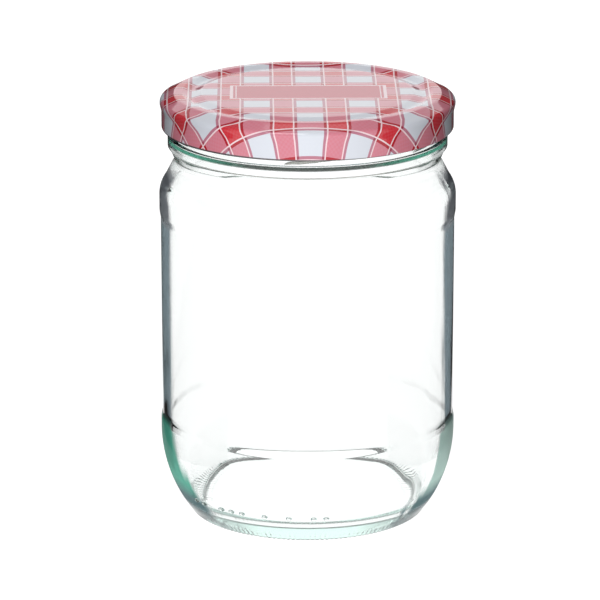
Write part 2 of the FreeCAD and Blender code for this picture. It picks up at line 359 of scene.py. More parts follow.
def turned_piece(name: str, rings: Sequence[Ring], turns: Array,
                 relief: Callable[[Ring, Array], Array],
                 marks: dict[str, Callable[[Ring], float]],
                 doubled: Callable[[Ring], bool] = lambda ring: False) -> bpy.types.Object:
    """Turn an outline about the upright axis into a piece.

    Args:
        name: the piece's name.
        rings: the outline, from the axis back to the axis.
        turns: the angles of the columns, rising, in radians.
        relief: says how far each vertex of a ring is moved outwards and upwards, in millimetres.
        marks: named values that every vertex of a ring carries, for the finishes to use.
        doubled: says which rings have twice the columns, where fine teeth need them.

    Returns:
        The piece, shaded smooth.
    """
    middles = (turns + np.append(turns[1:], turns[0] + 2 * math.pi)) / 2
    twice = np.stack((turns, middles), axis=1).ravel()
    vertices: list[Array] = []
    counts: list[int] = []
    faces: list[tuple[int, ...]] = []
    total, last_count = 0, 0
    for ring in rings:
        angles = twice if doubled(ring) else turns
        if ring.out < TINY:
            angles = np.zeros(1)
        outward, upward = relief(ring, angles)
        out = ring.out + outward
        vertices.append(np.stack((out * np.cos(angles), out * np.sin(angles), ring.up + upward), axis=1))
        counts.append(len(angles))
        if last_count:
            faces += strip(total - last_count, total, last_count, len(angles))
        total, last_count = total + len(angles), len(angles)
    mesh = bpy.data.meshes.new(name)
    mesh.from_pydata((np.vstack(vertices) * MM).tolist(), [], faces)
    mesh.shade_smooth()
    for mark, value_on in marks.items():
        levels = np.repeat([value_on(ring) for ring in rings], counts)
        mesh.attributes.new(mark, "FLOAT", "POINT").data.foreach_set("value", levels)
    return add_object(name, mesh)


# ---- glass


@dataclass(frozen=True)
class PressedSodaGlass:
    """Clear soda-lime glass, blown and pressed in an iron mould.

    The eye sees a clear wall that goes slate grey where it is seen edge on, with the streaks of
    the mould in it; that grey is painted shade, standing in for the dark surroundings seen in the
    wall. The thick heel and shoulder look filled with colour there, and the bead goes sea green and
    near black face on: painted colour and fill that stand in for light running a long way inside
    them, over the glass's own green. The heel is painted paler on its right, from how the light
    falls, and greyer towards its foot.
    """

    clear: str = "#ffffff"
    # painted shade: the slate grey of the wall seen edge on stands in for the dark surroundings seen in it
    edge: str = "#36454d"
    # the heel's colour edge on: partly the glass's own green, partly painted, standing in for light running
    # a long way inside it
    heel: str = "#5cb8a0"
    right_heel_painted_light: str = "#c0e2d8"  # painted light: the heel paler on its right, from how the light falls
    foot: str = "#587579"  # painted shade: the edge colour greyer towards the foot, under the heel
    # painted: the shoulder's grey edge on stands in for light and shade seen inside the thick glass
    shoulder: str = "#80858c"
    painted_fill: float = 0.85  # painted: how far the thick heel and shoulder look filled with their colour, for light running inside them
    # painted shade: the bead's top band near black face on and sea green at a slant, where light runs away
    # inside it
    bead: str = "#0a100d"
    bead_slant_painted: str = "#14523c"
    ior: float = 1.52
    roughness: float = 0.0
    tint: tuple[float, float, float, float] = (0.20, 0.74, 0.60, 1.0)
    density: float = 6.5  # per metre
    edge_shade_fade: Span = (0.60, 0.70)  # how far it faces away where the painted edge shade comes in
    bead_shade_fade: Span = (0.12, 0.40)  # and where the bead's painted green comes in
    heel_shade_wider: float = 0.045  # how much earlier the painted edge shade starts on the heel
    heel_zone: Zone = Zone((3.0, 6.0), (28.0, 31.0))
    shoulder_zone: Zone = Zone((87.0, 91.0), (101.0, 105.0))
    foot_fade: Span = (13.0, 8.0)  # millimetres up, where the painted greyer foot colour fades in
    side_fade: float = 20.0  # millimetres to each side over which left goes over into right, in the painted heel colour and streaks
    streak_width: float = 4.0  # millimetres between the streaks of the mould
    streak_length: float = 45.0  # millimetres that they run
    streak_depths: Span = (0.10, 0.30)  # on the left and on the right, in the painted edge shade

    def edge_shade_streaks(self, tree: Tree, place: Socket, right: Socket) -> Socket:
        """Build long upright streaks in the painted edge shade, after the streaks of the mould.

        Args:
            tree: the node tree.
            place: where the glass is, in metres.
            right: how far to the right that is, from 0 to 1.

        Returns:
            How much sooner or later the painted edge shade starts there.
        """
        around, along = 1 / (self.streak_width * MM), 1 / (self.streak_length * MM)
        stretched = add_node(tree, "Mapping", {"Vector": place, "Scale": (around, around, along)})
        edge_shade_streaks = add_node(tree, "TexNoise", {"Vector": stretched, "Scale": 1.0, "Detail": 2.0})
        weak, strong = self.streak_depths
        depth = add_node(tree, "MapRange", {"Value": right, "To Min": weak, "To Max": strong})
        centred = add_node(tree, "Math", {0: edge_shade_streaks, 1: 0.5}, operation="SUBTRACT")
        return add_node(tree, "Math", {0: centred, 1: depth}, operation="MULTIPLY")

    def material(self) -> bpy.types.Material:
        """Build the glass: a clear refracting surface, painted with shade and colour and partly filled
        where it is seen edge on, round a volume that absorbs red most.
        """
        material, tree = new_material("pressed_soda_glass")
        place = add_node(tree, "TexCoord", out="Object")
        side = add_node(tree, "SeparateXYZ", {0: place}, out="X")
        up, half = side.node.outputs["Z"], self.side_fade * MM
        right = add_node(tree, "MapRange", {"Value": side, "From Min": -half, "From Max": half})
        heel, shoulder = self.heel_zone.shaded(tree, up), self.shoulder_zone.shaded(tree, up)
        facing = add_node(tree, "LayerWeight", {"Blend": 0.5}, out="Facing")
        edge_shade_streaks = self.edge_shade_streaks(tree, place, right)
        seen = add_node(tree, "Math", {0: facing, 1: edge_shade_streaks}, operation="ADD")
        seen = add_node(tree, "Math", {0: heel, 1: self.heel_shade_wider, 2: seen}, operation="MULTIPLY_ADD")
        # painted shade: the outside of the wall goes slate where it faces away, sooner on the heel,
        # streaked
        start, end = self.edge_shade_fade
        dark = add_node(tree, "MapRange", {"Value": seen, "From Min": start, "From Max": end},
                        interpolation_type="SMOOTHSTEP")
        edge_shade_share = add_node(tree, "Attribute", out="Fac", attribute_name="wall")
        edge_shade_amount = add_node(tree, "Math", {0: dark, 1: edge_shade_share}, operation="MULTIPLY")
        # painted light: the heel's colour paler on the right, from how the light falls
        green = add_node(tree, "MixRGB", {"Fac": right, "Color1": self.heel, "Color2": self.right_heel_painted_light})
        above, below = self.foot_fade
        # painted shade: the edge colour greyer towards the foot
        low = add_node(tree, "MapRange", {"Value": up, "From Min": above * MM, "From Max": below * MM})
        green = add_node(tree, "MixRGB", {"Fac": low, "Color1": green, "Color2": self.foot})
        # painted shade: the slate edge colour, with the heel's and shoulder's painted colours, mixed in
        # edge on
        edge = add_node(tree, "MixRGB", {"Fac": heel, "Color1": self.edge, "Color2": green})
        edge = add_node(tree, "MixRGB", {"Fac": shoulder, "Color1": edge, "Color2": self.shoulder})
        colour = add_node(tree, "MixRGB", {"Fac": edge_shade_amount, "Color1": self.clear, "Color2": edge})
        # painted: the thick heel and shoulder turn partly opaque edge on, standing in for light running
        # inside them
        thick = add_node(tree, "Math", {0: heel, 1: shoulder}, operation="ADD")
        full = add_node(tree, "Math", {0: thick, 1: edge_shade_amount}, operation="MULTIPLY")
        through = add_node(tree, "Math", {0: full, 1: -self.painted_fill, 2: 1.0}, operation="MULTIPLY_ADD")
        # painted shade: the bead's top band near black face on and sea green at a slant
        start, end = self.bead_shade_fade
        slant = add_node(tree, "MapRange", {"Value": facing, "From Min": start, "From Max": end})
        bead = add_node(tree, "MixRGB", {"Fac": slant, "Color1": self.bead, "Color2": self.bead_slant_painted})
        on_bead = add_node(tree, "Attribute", out="Fac", attribute_name="bead")
        colour = add_node(tree, "MixRGB", {"Fac": on_bead, "Color1": colour, "Color2": bead})
        surface = add_node(tree, "BsdfPrincipled", {
            "Base Color": colour, "Transmission Weight": through, "IOR": self.ior,
            "Roughness": self.roughness, "Specular IOR Level": 0.0})
        volume = add_node(tree, "VolumeAbsorption", {"Color": self.tint, "Density": self.density})
        add_node(tree, "OutputMaterial", {"Surface": surface, "Volume": volume})
        return material


@dataclass
class GlassJar:
    """The glass: a round jar with a recessed label panel, a beaded neck and six threads.

    All sizes are in millimetres and all angles in degrees.
    """

    height: float
    body: float  # radius over shoulder and heel
    finish: float = 38.9  # radius at the root of the threads
    bore: float = 36.4
    neck: float = 38.4
    bead: float = 40.45
    inside: float = 40.45
    panel: float = 0.35  # depth of the label panel
    floor: float = 4.6  # height of the inner floor
    heel_top: float = 27.6
    shoulder_foot: float = 95.0
    bead_top: float = 112.8
    wave: float = 0.16  # unevenness of the blown inside
    wave_ways: float = 4.2  # how fast it changes round the jar
    wave_tall: float = 30.0  # millimetres that it runs up the wall
    wave_zone: Zone = Zone((4.0, 18.0), (100.0, 108.0))
    neck_zone: Zone = Zone((101.0, 105.0), (110.5, 111.2))
    neck_shade_cut: float = 0.85  # how much less of the painted edge shade the neck gets
    band_zone: Zone = Zone((111.2, 111.6), (112.6, 112.75))  # the bead's band of painted shade
    band_reach: float = 0.6  # how far in from the bead it runs
    starts: int = 6
    thread_turn: float = -14.0
    thread_sweep: float = 56.0
    thread_lean: float = 5.8
    thread_level: float = 116.3
    thread_rise: float = 1.38
    thread_half: float = 1.6
    thread_end: float = 7.0  # degrees over which a thread runs out
    thread_crest: float = 0.8  # the lower, the broader its crest
    thread_foot: float = 112.9  # the threads stay above this height
    dot_places: tuple[int, ...] = (0, 1, 3, 5, 7, 8, 9, 11, 12)
    dot_first: float = -82.2
    dot_step: float = 5.22
    dot_level: float = 8.3
    dot_long: float = 0.95
    dot_high: float = 0.62
    dot_proud: float = 0.52
    dot_slope: float = 0.6  # the lower, the steeper its sides
    dot_out: float = 37.9  # radius that sets how closely its columns stand
    dot_spread: float = 1.05  # how far they run, as a share of its length
    dot_columns: int = 8
    teeth: int = 152  # fine teeth of the standing ring
    tooth: float = 0.18
    standing: float = 33.6  # radius at the middle of the standing ring
    standing_from: float = 31.0
    standing_top: float = 1.6
    standing_fade: Span = (1.1, 2.6)  # how far from its middle the teeth fade
    columns: int = 252
    closest: float = 1e-4  # radians between two columns
    substance: PressedSodaGlass = field(default_factory=PressedSodaGlass)

    def corners(self) -> list[tuple[Corner, Face]]:
        """List the section's corners, from the middle of the underside to the middle of the floor."""
        panel = self.body - self.panel
        dots = (self.dot_level - 0.9, self.dot_level + 0.9, 0.16)
        outside = [
            Corner(0.0, 1.0, step=4.0), Corner(31.4, 0.8, step=0.5), Corner(32.6, 0.0, step=0.5),
            Corner(34.2, 0.0, 0.9, Bend.ARRIVES_UPRIGHT, step=1.0, close=dots),
            Corner(self.body, 25.0), Corner(self.body, self.heel_top, 3.0, step=1.0),
            Corner(panel, 29.8, 4.4, step=4.5), Corner(panel, 88.2, 4.4, step=1.0),
            Corner(self.body, 90.4, 3.0),
            Corner(self.body, self.shoulder_foot, 0.0, Bend.LEAVES_UPRIGHT, step=0.9),
            Corner(self.body - 1.7, 99.9, step=1.2), Corner(self.neck, 105.6, 3.0, step=0.5),
            Corner(self.bead - 0.5, 109.2, 0.3, step=0.2), Corner(self.bead, 109.6, 0.3, step=0.25),
            Corner(self.bead, self.bead_top, 0.45, step=0.6),
            Corner(self.finish, self.bead_top, 0.3, step=0.4),
            Corner(self.finish, self.height, 0.9, step=0.6),
        ]
        inside = [
            Corner(self.bore, self.height, 0.9, step=3.0),
            Corner(self.bore, 106.6, 0.0, Bend.LEAVES_UPRIGHT, step=1.0),
            Corner(38.43, 100.8, 0.0, Bend.ARRIVES_UPRIGHT, step=1.0),
            Corner(self.inside, self.shoulder_foot, step=4.5),
            Corner(self.inside, self.heel_top, 0.0, Bend.LEAVES_UPRIGHT, step=0.8),
            Corner(34.0, self.floor, 7.0, step=1.0), Corner(0.0, self.floor),
        ]
        return [(corner, Face.OUTSIDE) for corner in outside] + [(corner, Face.INSIDE) for corner in inside]

    def turns(self) -> Array:
        """Give the angles of the columns: even ones, and closer ones across each mould dot."""
        even = np.arange(self.columns) * 2 * math.pi / self.columns
        reach = math.degrees(self.dot_long / self.dot_out) * self.dot_spread
        near_dots = [math.radians(self.dot_first - self.dot_step * place + offset) % (2 * math.pi)
                     for place in self.dot_places
                     for offset in np.linspace(-reach, reach, self.dot_columns)]
        every = np.unique(np.concatenate((even, near_dots)))
        return every[np.diff(np.append(every, every[0] + 2 * math.pi)) > self.closest]

    def threads(self, ring: Ring, turns: Array) -> Array:
        """Say how far the threads stand out on a ring.

        Args:
            ring: the ring.
            turns: the angles of its vertices.

        Returns:
            How far, in millimetres, at each of them.
        """
        height = np.zeros_like(turns)
        half_sweep = math.radians(self.thread_sweep / 2)
        climb = self.finish * math.sin(math.radians(self.thread_lean))
        for start in range(self.starts):
            offset = apart(turns, math.radians(self.thread_turn + 360 / self.starts * start))
            strength = ramp(half_sweep - np.abs(offset), 0.0, math.radians(self.thread_end))
            level = self.thread_level + climb * np.sin(offset)
            away = np.clip(np.abs(ring.up - level) / self.thread_half, 0, 1)
            height = np.maximum(height, strength * (1 - away ** 2) ** self.thread_crest)
        return self.thread_rise * height

    def dots(self, ring: Ring, turns: Array) -> Array:
        """Say the same for the mould dots.

        Args:
            ring: the ring.
            turns: the angles of its vertices.

        Returns:
            How far, in millimetres, at each of them.
        """
        height = np.zeros_like(turns)
        for place in self.dot_places:
            offset = apart(turns, math.radians(self.dot_first - self.dot_step * place)) * ring.out
            away = (offset / self.dot_long) ** 2 + ((ring.up - self.dot_level) / self.dot_high) ** 2
            height = np.maximum(height, ramp(1 - away, 0.0, self.dot_slope))
        return self.dot_proud * height

    def waves(self, ring: Ring, turns: Array) -> Array:
        """Give the long shallow unevenness of the blown inside, mostly upright streaks."""
        spots = [Vector((math.cos(turn) * self.wave_ways, math.sin(turn) * self.wave_ways,
                         ring.up / self.wave_tall)) for turn in turns]
        return np.array([noise.noise(spot) for spot in spots]) * self.wave * self.wave_zone.share(ring.up)

    def relief(self, ring: Ring, turns: Array) -> Array:
        """Say how far each vertex of a ring is moved, which is always along the ring's normal.

        Args:
            ring: the ring.
            turns: the angles of its vertices.

        Returns:
            Two rows: outwards and upwards, in millimetres.
        """
        if ring.face is Face.INSIDE:
            return np.outer(ring.normal, self.waves(ring, turns))
        lift = self.dots(ring, turns)
        if ring.up > self.thread_foot and ring.out > self.finish - NEAR:
            lift += self.threads(ring, turns)
        if self.on_standing(ring):
            toothed = 1 - ramp(abs(ring.out - self.standing), *self.standing_fade)
            lift -= self.tooth * toothed * (0.5 - 0.5 * np.cos(turns * self.teeth))
        return np.outer(ring.normal, lift)

    def edge_shade_mark(self, ring: Ring) -> float:
        """Say how much painted edge shade the wall gets: only outside, and little under the bead."""
        return ring.face.value * (1 - self.neck_shade_cut * self.neck_zone.share(ring.up))

    def bead_shade_mark(self, ring: Ring) -> float:
        """Mark the band at the top of the bead that gets painted shade, where its full depth of glass is
        looked into.
        """
        on_bead = ring.face is Face.OUTSIDE and ring.out > self.bead - self.band_reach
        return self.band_zone.share(ring.up) if on_bead else 0.0

    def on_standing(self, ring: Ring) -> bool:
        """Say whether a ring lies on the toothed standing ring."""
        return ring.face is Face.OUTSIDE and ring.up < self.standing_top and ring.out > self.standing_from

    def build(self) -> bpy.types.Object:
        """Build the glass as one closed mesh and dress it.

        Returns:
            The finished piece.
        """
        # the marks say where the glass gets its painted shade
        marks = {"wall": self.edge_shade_mark, "bead": self.bead_shade_mark}
        glass = turned_piece("jar_glass", turned_outline(self.corners()), self.turns(), self.relief, marks,
                             self.on_standing)
        glass.data.materials.append(self.substance.material())
        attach(glass, "root")
        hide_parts("jar")
        LOG.info("%s: the whole glass, %d faces", glass.name, len(glass.data.polygons))
        return glass


# ---- lid


@dataclass(frozen=True)
class Gingham:
    """The printed check: red bands both ways, each edged by a white line and a mauve stripe.

    Sizes are in millimetres on the flat sheet, before it is pressed into a lid.
    """

    repeat: float = 15.0
    white_half: float = 3.7  # half of the white block between two bands
    stripe: float = 0.8
    line: float = 0.42
    weave: float = 0.7  # threads of the cloth, drawn about twice as coarse as they are
    weave_depth: float = 0.05  # how much less ink lies on every other thread


@dataclass(frozen=True)
class Plate:
    """The bare label plate in the middle of the lid, in millimetres."""

    half_long: float = 22.6
    half_wide: float = 8.2
    border: float = 0.7
    bar: float = 0.95
    inner_line: float = 20.8
    shift: Span = (-0.13, -0.48)
    inner_half: float = 0.15


@dataclass(frozen=True)
class PrintedTinplate:
    """Tinplate coated white, printed with the check in three inks and lacquered before pressing.

    The eye sees clean flat inks under a smooth gloss, which turns pale where it is seen at a slant.
    The lower part of the rolled curl is painted dark, as shade.
    """

    white: str = "#e2e6ef"
    pink: str = "#dd8393"
    red: str = "#d8353f"
    mauve: str = "#dd8e9c"  # multiplies what it is printed over
    deep: str = "#b8202f"  # where a stripe crosses a band
    line: str = "#fbdfe4"
    plate: str = "#cc4a5e"
    curl_painted_shade: str = "#5b5357"  # painted shade: the dark lower part of the rolled curl
    curl_shade_from: float = 49.65  # millimetres from the middle of the flat sheet
    curl_shade_fade: float = 0.2
    peel: float = 1 / 0.35  # millimetres from ripple to ripple of the lacquer
    peel_strength: float = 0.04
    peel_height: float = 0.2  # millimetres
    ior: float = 1.5
    ink_roughness: float = 0.45
    coat_roughness: float = 0.06
    check: Gingham = field(default_factory=Gingham)
    label: Plate = field(default_factory=Plate)

    def bands(self, tree: Tree, across: Socket) -> tuple[Socket, ...]:
        """Work out where the bands, stripes and lines of one direction lie.

        Args:
            tree: the node tree.
            across: the distance across the bands, in millimetres.

        Returns:
            How much of band, stripe and line there is, each from 0 to 1.
        """
        check = self.check
        folded = add_node(tree, "Math", {0: across, 1: check.repeat / 2}, operation="PINGPONG")
        stripe_middle = check.white_half + check.stripe / 2
        line_middle = check.white_half + check.stripe + check.line / 2
        band = add_node(tree, "Math", {0: folded, 1: line_middle}, operation="GREATER_THAN")
        stripe = add_node(tree, "Math", {0: folded, 1: stripe_middle, 2: check.stripe / 2},
                          operation="COMPARE")
        line = add_node(tree, "Math", {0: folded, 1: line_middle, 2: check.line / 2}, operation="COMPARE")
        return band, stripe, line

    def cloth(self, tree: Tree, along: Socket, across: Socket) -> Socket:
        """Build the colours of the printed check.

        Args:
            tree: the node tree.
            along: millimetres from left to right on the flat sheet.
            across: millimetres from front to back.

        Returns:
            The colour.
        """
        up_band, up_stripe, up_line = self.bands(tree, along)
        level_band, level_stripe, level_line = self.bands(tree, across)
        weave = add_node(tree, "TexChecker", {"Vector": add_node(tree, "CombineXYZ", {0: along, 1: across}),
                                              "Scale": 1 / self.check.weave}, out="Fac")
        thin = add_node(tree, "Math", {0: weave, 1: -self.check.weave_depth, 2: 1.0},
                        operation="MULTIPLY_ADD")
        up_share = add_node(tree, "Math", {0: up_band, 1: thin}, operation="MULTIPLY")
        level_share = add_node(tree, "Math", {0: level_band, 1: thin}, operation="MULTIPLY")
        single = add_node(tree, "MixRGB", {"Fac": up_share, "Color1": self.white, "Color2": self.pink})
        double = add_node(tree, "MixRGB", {"Fac": up_share, "Color1": self.pink, "Color2": self.red})
        colour = add_node(tree, "MixRGB", {"Fac": level_share, "Color1": single, "Color2": double})
        for stripe, band in ((up_stripe, level_share), (level_stripe, up_share)):
            colour = add_node(tree, "MixRGB", {
                "Fac": stripe, "Color1": colour, "Color2": self.mauve}, blend_type="MULTIPLY")
            crossed = add_node(tree, "Math", {0: stripe, 1: band}, operation="MULTIPLY")
            colour = add_node(tree, "MixRGB", {"Fac": crossed, "Color1": colour, "Color2": self.deep})
        lines = add_node(tree, "Math", {0: up_line, 1: level_line}, operation="MAXIMUM")
        return add_node(tree, "MixRGB", {"Fac": lines, "Color1": colour, "Color2": self.line})

    def labelled(self, tree: Tree, cloth: Socket, along: Socket, across: Socket) -> Socket:
        """Lay the bare label plate over the check.

        Args:
            tree: the node tree.
            cloth: the colour of the check.
            along: millimetres from left to right on the flat sheet.
            across: millimetres from front to back.

        Returns:
            The colour with the plate on it.
        """
        label, colour = self.label, cloth
        inner_wide = label.half_wide - label.border
        fields = [
            (label.half_long, label.half_wide, self.line),
            (label.half_long - label.bar, inner_wide, self.plate),
            (label.inner_line + label.inner_half, inner_wide, self.line),
            (label.inner_line - label.inner_half, inner_wide, self.plate),
        ]
        right, back = label.shift
        for half_long, half_wide, ink in fields:
            level = add_node(tree, "Math", {0: along, 1: right, 2: half_long}, operation="COMPARE")
            upright = add_node(tree, "Math", {0: across, 1: back, 2: half_wide}, operation="COMPARE")
            within = add_node(tree, "Math", {0: level, 1: upright}, operation="MULTIPLY")
            colour = add_node(tree, "MixRGB", {"Fac": within, "Color1": colour, "Color2": ink})
        return colour

    def material(self) -> bpy.types.Material:
        """Build the print under its lacquer, with painted shade on the lower part of the curl."""
        material, tree = new_material("printed_lacquered_tinplate")
        sheet = add_node(tree, "Attribute", out="Vector", attribute_name="sheet")
        along = add_node(tree, "SeparateXYZ", {0: sheet}, out="X")
        across = along.node.outputs["Y"]
        colour = self.labelled(tree, self.cloth(tree, along, across), along, across)
        # painted shade: the rolled curl goes dark past this reach on the flat sheet
        reach = add_node(tree, "VectorMath", {0: sheet}, out="Value", operation="LENGTH")
        curl_shade_share = add_node(tree, "MapRange", {
            "Value": reach, "From Min": self.curl_shade_from, "From Max": self.curl_shade_from + self.curl_shade_fade})
        colour = add_node(tree, "MixRGB", {"Fac": curl_shade_share, "Color1": colour, "Color2": self.curl_painted_shade})
        peel = add_node(tree, "TexNoise", {"Vector": sheet, "Scale": 1 / self.peel, "Detail": 1.0})
        bump = add_node(tree, "Bump", {
            "Height": peel, "Strength": self.peel_strength, "Distance": self.peel_height * MM})
        surface = add_node(tree, "BsdfPrincipled", {
            "Base Color": colour, "Roughness": self.ink_roughness, "Specular IOR Level": 0.0,
            "Coat Weight": 1.0, "Coat Roughness": self.coat_roughness, "Coat IOR": self.ior,
            "Coat Normal": bump})
        add_node(tree, "OutputMaterial", {"Surface": surface})
        return material


@dataclass(frozen=True)
class StovedEnamel:
    """White food lacquer, sprayed inside the lid and stoved.

    The eye sees an even off-white with a soft sheen and a faint mottle.
    """

    white: str = "#e9e7e0"
    shade: str = "#dedbd2"
    roughness: float = 0.35
    mottle: float = 3.0  # millimetres

    def material(self) -> bpy.types.Material:
        """Build the enamel."""
        material, tree = new_material("stoved_white_enamel")
        place = add_node(tree, "TexCoord", out="Object")
        scale = 1 / (self.mottle * MM)
        mottle = add_node(tree, "TexNoise", {"Vector": place, "Scale": scale, "Detail": 2.0})
        colour = add_node(tree, "MixRGB", {"Fac": mottle, "Color1": self.white, "Color2": self.shade})
        surface = add_node(tree, "BsdfPrincipled", {"Base Color": colour, "Roughness": self.roughness})
        add_node(tree, "OutputMaterial", {"Surface": surface})
        return material


@dataclass
class TwistOffLid:
    """The lid: one pressing of thin tinplate with a rolled edge that is pinched into six lugs.

    All sizes are in millimetres and all angles in degrees.
    """

    top: float
    edge: float  # height of the lower edge
    widest: float  # radius over the shoulder
    skirt: float = 42.2
    curl: float = 0.55
    sheet: float = 0.22
    clear: float = 0.03  # air left between the sheet and the rim
    panel_dip: float = 0.2  # how far the middle lies below the top
    groove_dip: float = 0.9
    round_dip: float = 1.6  # where the edge's rounding ends
    shoulder_dips: Span = (2.8, 3.2)
    skirt_dip: float = 5.1
    lugs: int = 6
    lug_turn: float = 6.0
    lug_sweep: float = 13.0
    lug_reach: float = 1.5
    lug_fade: float = 2.0  # degrees over which a lug runs out
    ridge: float = 38.4
    drawn_over: float = 2.2  # how far beyond the ridge the sheet is stretched
    drawn_share: float = 0.66
    print_turn: float = -0.75  # how far the print is turned from square
    print_shift: Span = (0.33, 0.33)
    columns: int = 400
    print: PrintedTinplate = field(default_factory=PrintedTinplate)
    lining: StovedEnamel = field(default_factory=StovedEnamel)

    def corners(self) -> list[tuple[Corner, Face]]:
        """List the section's corners, from the middle of the top round the curl and back inside."""
        curl_level = self.edge + self.curl
        curl_middle = self.skirt - self.curl
        inner_skirt, inner_widest = self.skirt - self.sheet, self.widest - self.sheet
        panel, groove = self.top - self.panel_dip, self.top - self.groove_dip
        high, low = (self.top - dip for dip in self.shoulder_dips)
        skirt_top = self.top - self.skirt_dip
        under = self.top - self.sheet + self.clear
        outside = [
            Corner(0.0, panel, step=5.0), Corner(30.6, panel, 1.6, step=0.9),
            Corner(33.2, groove, 1.0, step=0.6), Corner(34.2, groove, 1.0, step=0.7),
            Corner(36.2, self.top, 1.4, step=0.8), Corner(38.5, self.top, 1.8, step=0.8),
            Corner(41.8, self.top - self.round_dip, 0.0, Bend.ARRIVES_UPRIGHT, step=0.3),
            Corner(self.widest, high, step=0.4), Corner(self.widest, low, 1.0, step=0.8),
            Corner(self.skirt, skirt_top, 3.0, step=1.1),
            Corner(self.skirt, curl_level, 0.0, Bend.LEAVES_UPRIGHT, step=0.14),
            Corner(curl_middle, self.edge, 0.0, Bend.ARRIVES_UPRIGHT, step=0.14),
            Corner(curl_middle - self.curl, curl_level, 0.0, Bend.LEAVES_UPRIGHT, step=0.16),
        ]
        inside = [
            Corner(curl_middle, curl_level + self.curl, step=0.4),
            Corner(inner_skirt, curl_level + 0.9, 0.3), Corner(inner_skirt, skirt_top, 3.0),
            Corner(inner_widest, low, 1.0), Corner(inner_widest, high, 0.8),
            Corner(41.6, self.top - 1.75, 0.8), Corner(38.4, under, 1.6), Corner(36.25, under, 1.2),
            Corner(34.15, groove - self.sheet, 1.0), Corner(33.25, groove - self.sheet, 1.0),
            Corner(30.6, panel - self.sheet, 1.6, step=5.0), Corner(0.0, panel - self.sheet),
        ]
        return [(corner, Face.OUTSIDE) for corner in outside] + [(corner, Face.INSIDE) for corner in inside]

    def relief(self, ring: Ring, turns: Array) -> Array:
        """Pinch the inner side of the curl into lugs.

        Args:
            ring: the ring.
            turns: the angles of its vertices.

        Returns:
            Two rows: outwards and upwards, in millimetres.
        """
        lift, still = np.zeros_like(turns), np.zeros_like(turns)
        inner_side = ramp(self.skirt - self.curl - ring.out, 0.0, self.curl)
        if ring.up > self.edge + 2 * self.curl + NEAR or inner_side <= 0:
            return np.stack((still, still))
        end = math.radians(self.lug_sweep / 2)
        start = end - math.radians(self.lug_fade)
        for lug in range(self.lugs):
            offset = np.abs(apart(turns, math.radians(self.lug_turn + 360 / self.lugs * lug)))
            lift = np.maximum(lift, 1 - ramp(offset, start, end))
        return np.stack((-lift * inner_side * self.lug_reach, still))

    def lay_print(self, lid: bpy.types.Object, rings: Sequence[Ring]) -> None:
        """Give each vertex its place on the flat sheet.

        The sheet keeps its place on top, is stretched where it is drawn over the ridge, and keeps
        its area below that.

        Args:
            lid: the piece.
            rings: its outline.
        """
        outs = np.array([ring.out for ring in rings])
        travel = np.array([ring.travel for ring in rings])
        past_ridge = travel - travel[np.argmax(outs > self.ridge)]
        drawn = np.where(past_ridge[1:] < self.drawn_over, self.drawn_share, 1.0)
        pressed = np.diff(travel) * (outs[1:] + outs[:-1]) * drawn
        flat = np.diff(outs ** 2)
        areas = np.concatenate(([0.0], np.cumsum(np.where(past_ridge[1:] <= 0, flat, pressed))))
        counts = [1 if ring.out < TINY else self.columns for ring in rings]
        reach = np.repeat(np.sqrt(areas), counts)
        places = np.empty(len(lid.data.vertices) * 3)
        lid.data.vertices.foreach_get("co", places)
        places = places.reshape(-1, 3)
        turn = np.arctan2(places[:, 1], places[:, 0]) + math.radians(self.print_turn)
        right, back = self.print_shift
        sheet = np.stack((reach * np.cos(turn) - right, reach * np.sin(turn) - back, np.zeros_like(turn)),
                         axis=1)
        attribute = lid.data.attributes.new("sheet", "FLOAT_VECTOR", "POINT")
        attribute.data.foreach_set("vector", sheet.ravel())

    def build(self) -> bpy.types.Object:
        """Build the lid as one closed mesh, printed outside and enamelled inside.

        Returns:
            The finished piece.
        """
        rings = turned_outline(self.corners())
        turns = np.arange(self.columns) * 2 * math.pi / self.columns
        marks = {"outside": lambda ring: ring.face.value}
        lid = turned_piece("printed_lid", rings, turns, self.relief, marks)
        self.lay_print(lid, rings)
        for finish in (self.print, self.lining):
            lid.data.materials.append(finish.material())
        levels = np.empty(len(lid.data.vertices))
        lid.data.attributes["outside"].data.foreach_get("value", levels)
        for polygon in lid.data.polygons:
            polygon.material_index = 0 if levels[polygon.vertices[0]] == Face.OUTSIDE.value else 1
        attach(lid, "root")
        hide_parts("lid")
        LOG.info("%s: the lid with its lugs, %d faces", lid.name, len(lid.data.polygons))
        return lid


# ---- studio


@dataclass(frozen=True)
class SoftBox:
    """A square soft box. Sizes are in metres and power in watts."""

    name: str
    place: tuple[float, float, float]
    size: float
    power: float

    def hang(self, aim: Vector) -> None:
        """Hang it so that it faces a point.

        Args:
            aim: the point, in metres.
        """
        light = bpy.data.lights.new(self.name, "AREA")
        light.size, light.energy = self.size, self.power
        lamp = add_object(self.name, light)
        lamp.location = self.place
        lamp.rotation_euler = (aim - lamp.location).to_track_quat("-Z", "Y").to_euler()


